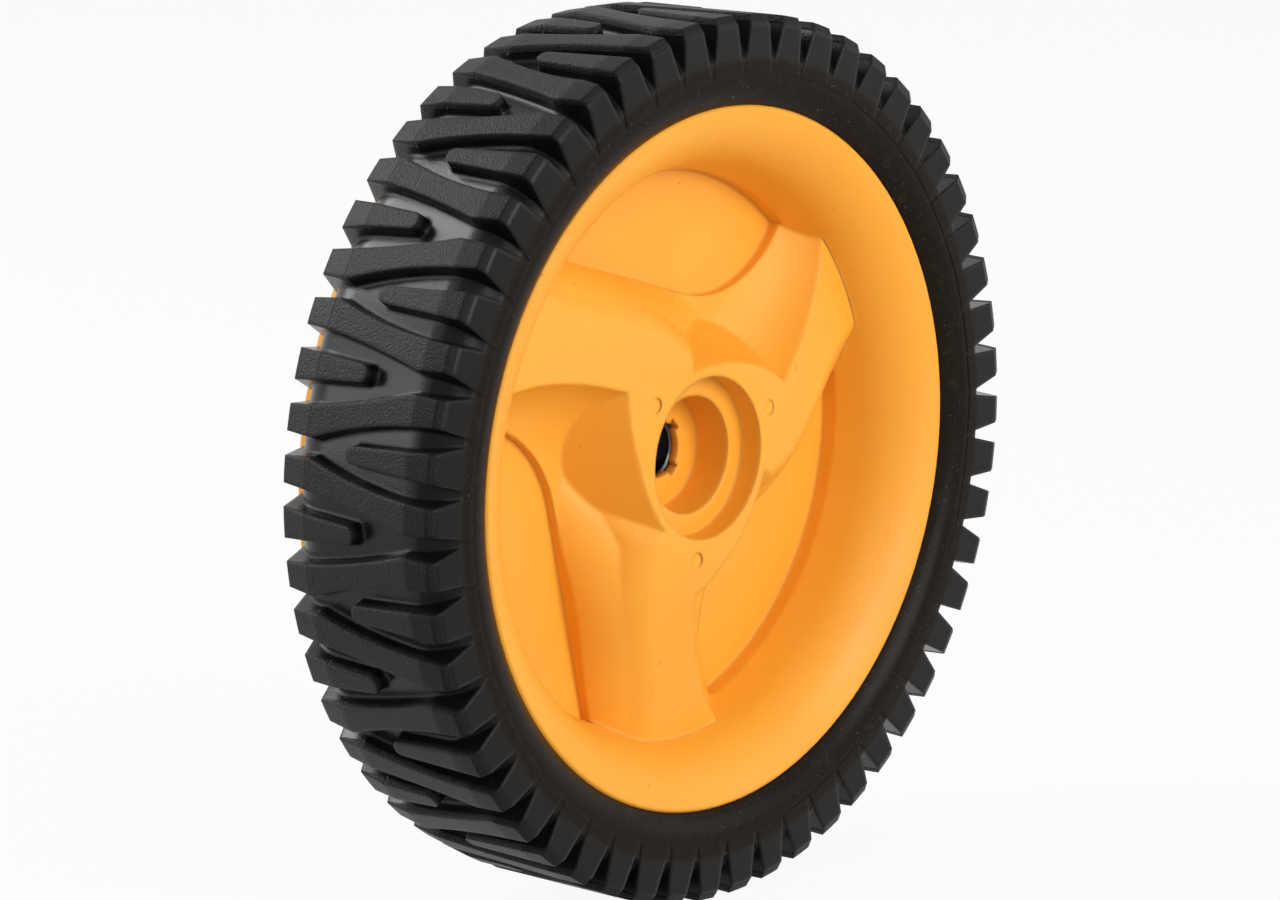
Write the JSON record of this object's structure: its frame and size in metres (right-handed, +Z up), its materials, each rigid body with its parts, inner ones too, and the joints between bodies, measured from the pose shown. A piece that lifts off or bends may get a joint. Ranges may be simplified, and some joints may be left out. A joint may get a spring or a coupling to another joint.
{
  "type": "lawn mower wheel",
  "caption": "Moulded orange wheel with a swirl-bladed dished face and a stepped hub around a steel axle bush, carrying a black rubber tyre with deep interlocking tread lugs.",
  "frame": {"origin": "centre of the wheel, on the axle's axis and half way across the overall width", "axes": "+Y along the axle towards the plain back of the wheel, +Z up, so the bladed face looks along -Y"},
  "size_m": [0.2032, 0.0507, 0.2032],
  "materials": {
    "tyre_rubber": "black rubber, grained on the lug tops and smooth in the grooves",
    "orange_plastic": "satin moulded orange plastic",
    "bush_steel": "dark drawn steel, bare in the bore"
  },
  "bodies": {
    "root": {"tyre": "tyre_rubber", "rim": "orange_plastic", "axle_bush": "bush_steel"}
  },
  "joints": []
}
